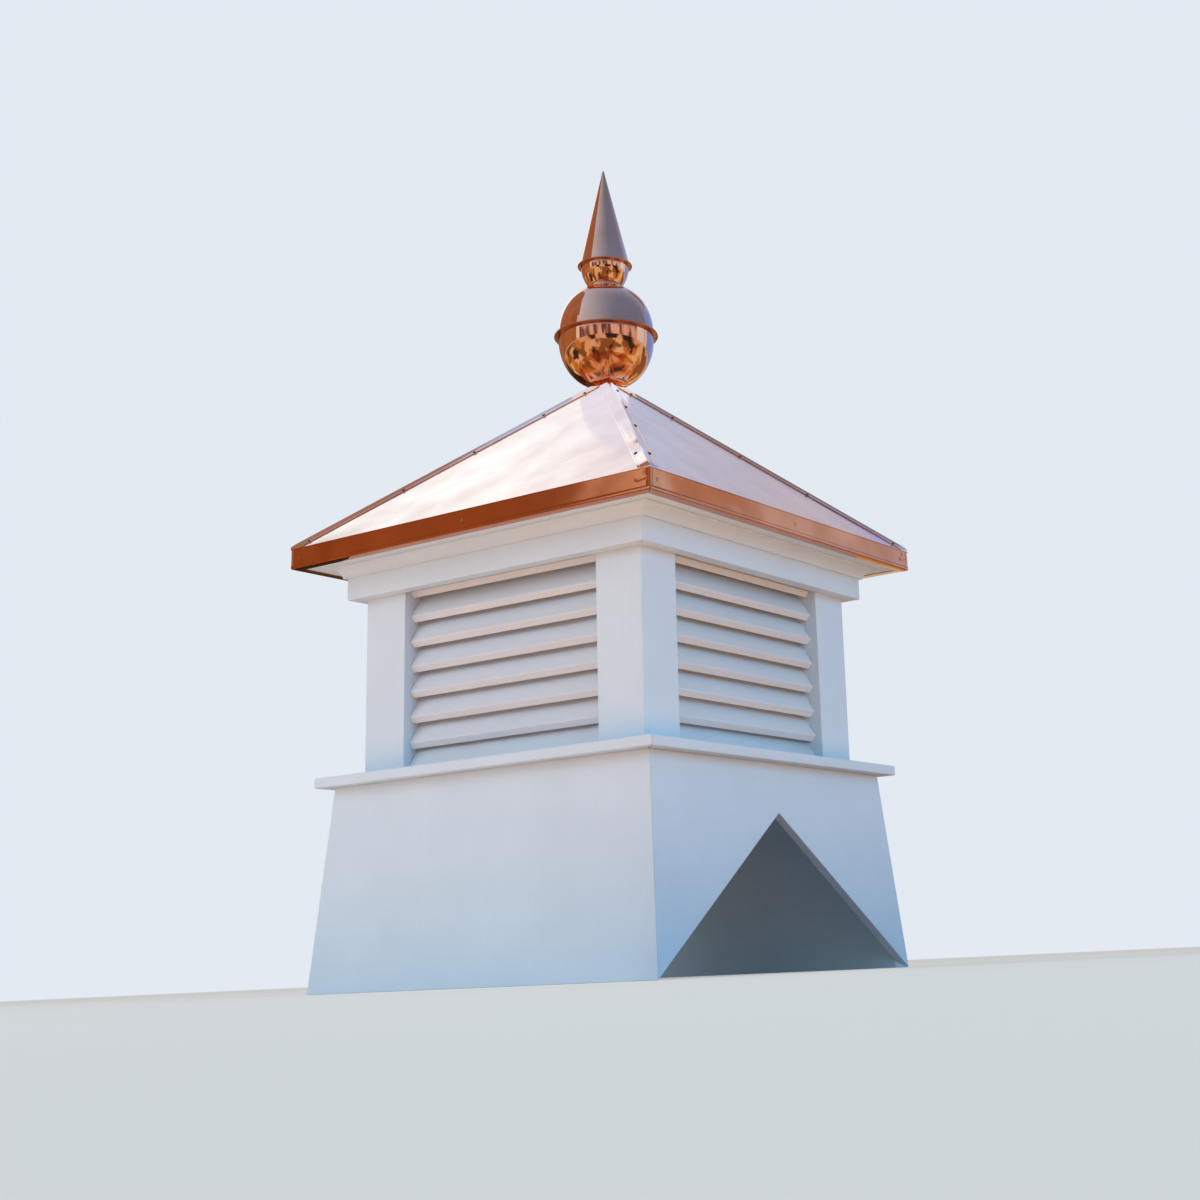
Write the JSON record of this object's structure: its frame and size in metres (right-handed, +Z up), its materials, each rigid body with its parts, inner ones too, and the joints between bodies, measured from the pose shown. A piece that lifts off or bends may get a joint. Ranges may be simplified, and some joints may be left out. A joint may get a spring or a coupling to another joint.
{
  "type": "barn cupola with louvered vents and a ball and spire finial",
  "caption": "Square louvered roof cupola with a battered base cut to sit over a ridge, copper pyramid roof, and a ball and spire finial.",
  "frame": {"origin": "middle of the level plane the foot stands on, below the peak", "axes": "+Z up through the finial, +X towards the right saddle wall, -Y towards the level front wall that runs along the ridge"},
  "size_m": [0.608, 0.608, 1.1557],
  "materials": {
    "white_pvc": "satin white cellular PVC board",
    "moulded_vinyl": "satin white moulded vinyl",
    "deck_board": "plain sheathing plywood",
    "sheet_copper": "bright rolled copper sheet",
    "satin_copper": "satin copper strip, lightly toned",
    "polished_copper": "mirror polished spun copper"
  },
  "bodies": {
    "root": {"ball_band": "polished_copper", "ball_lower": "polished_copper", "ball_upper": "polished_copper", "base_wall_back": "white_pvc", "base_wall_front": "white_pvc", "base_wall_left": "white_pvc", "base_wall_right": "white_pvc", "corner_board_back_left": "white_pvc", "corner_board_back_right": "white_pvc", "corner_board_front_left": "white_pvc", "corner_board_front_right": "white_pvc", "crown_back": "white_pvc", "crown_front": "white_pvc", "crown_left": "white_pvc", "crown_right": "white_pvc", "cup_band": "polished_copper", "fascia_back": "satin_copper", "fascia_front": "satin_copper", "fascia_left": "satin_copper", "fascia_right": "satin_copper", "finial_collar": "polished_copper", "finial_cup": "polished_copper", "finial_spire": "polished_copper", "frieze_back": "white_pvc", "frieze_front": "white_pvc", "frieze_left": "white_pvc", "frieze_right": "white_pvc", "hip_cap_back_left": "sheet_copper", "hip_cap_back_right": "sheet_copper", "hip_cap_front_left": "sheet_copper", "hip_cap_front_right": "sheet_copper", "roof_deck": "deck_board", "roof_panel_back": "sheet_copper", "roof_panel_front": "sheet_copper", "roof_panel_left": "sheet_copper", "roof_panel_right": "sheet_copper", "shelf_back": "white_pvc", "shelf_front": "white_pvc", "shelf_left": "white_pvc", "shelf_right": "white_pvc", "soffit": "white_pvc", "vent_back": "moulded_vinyl", "vent_front": "moulded_vinyl", "vent_left": "moulded_vinyl", "vent_right": "moulded_vinyl"}
  },
  "joints": []
}
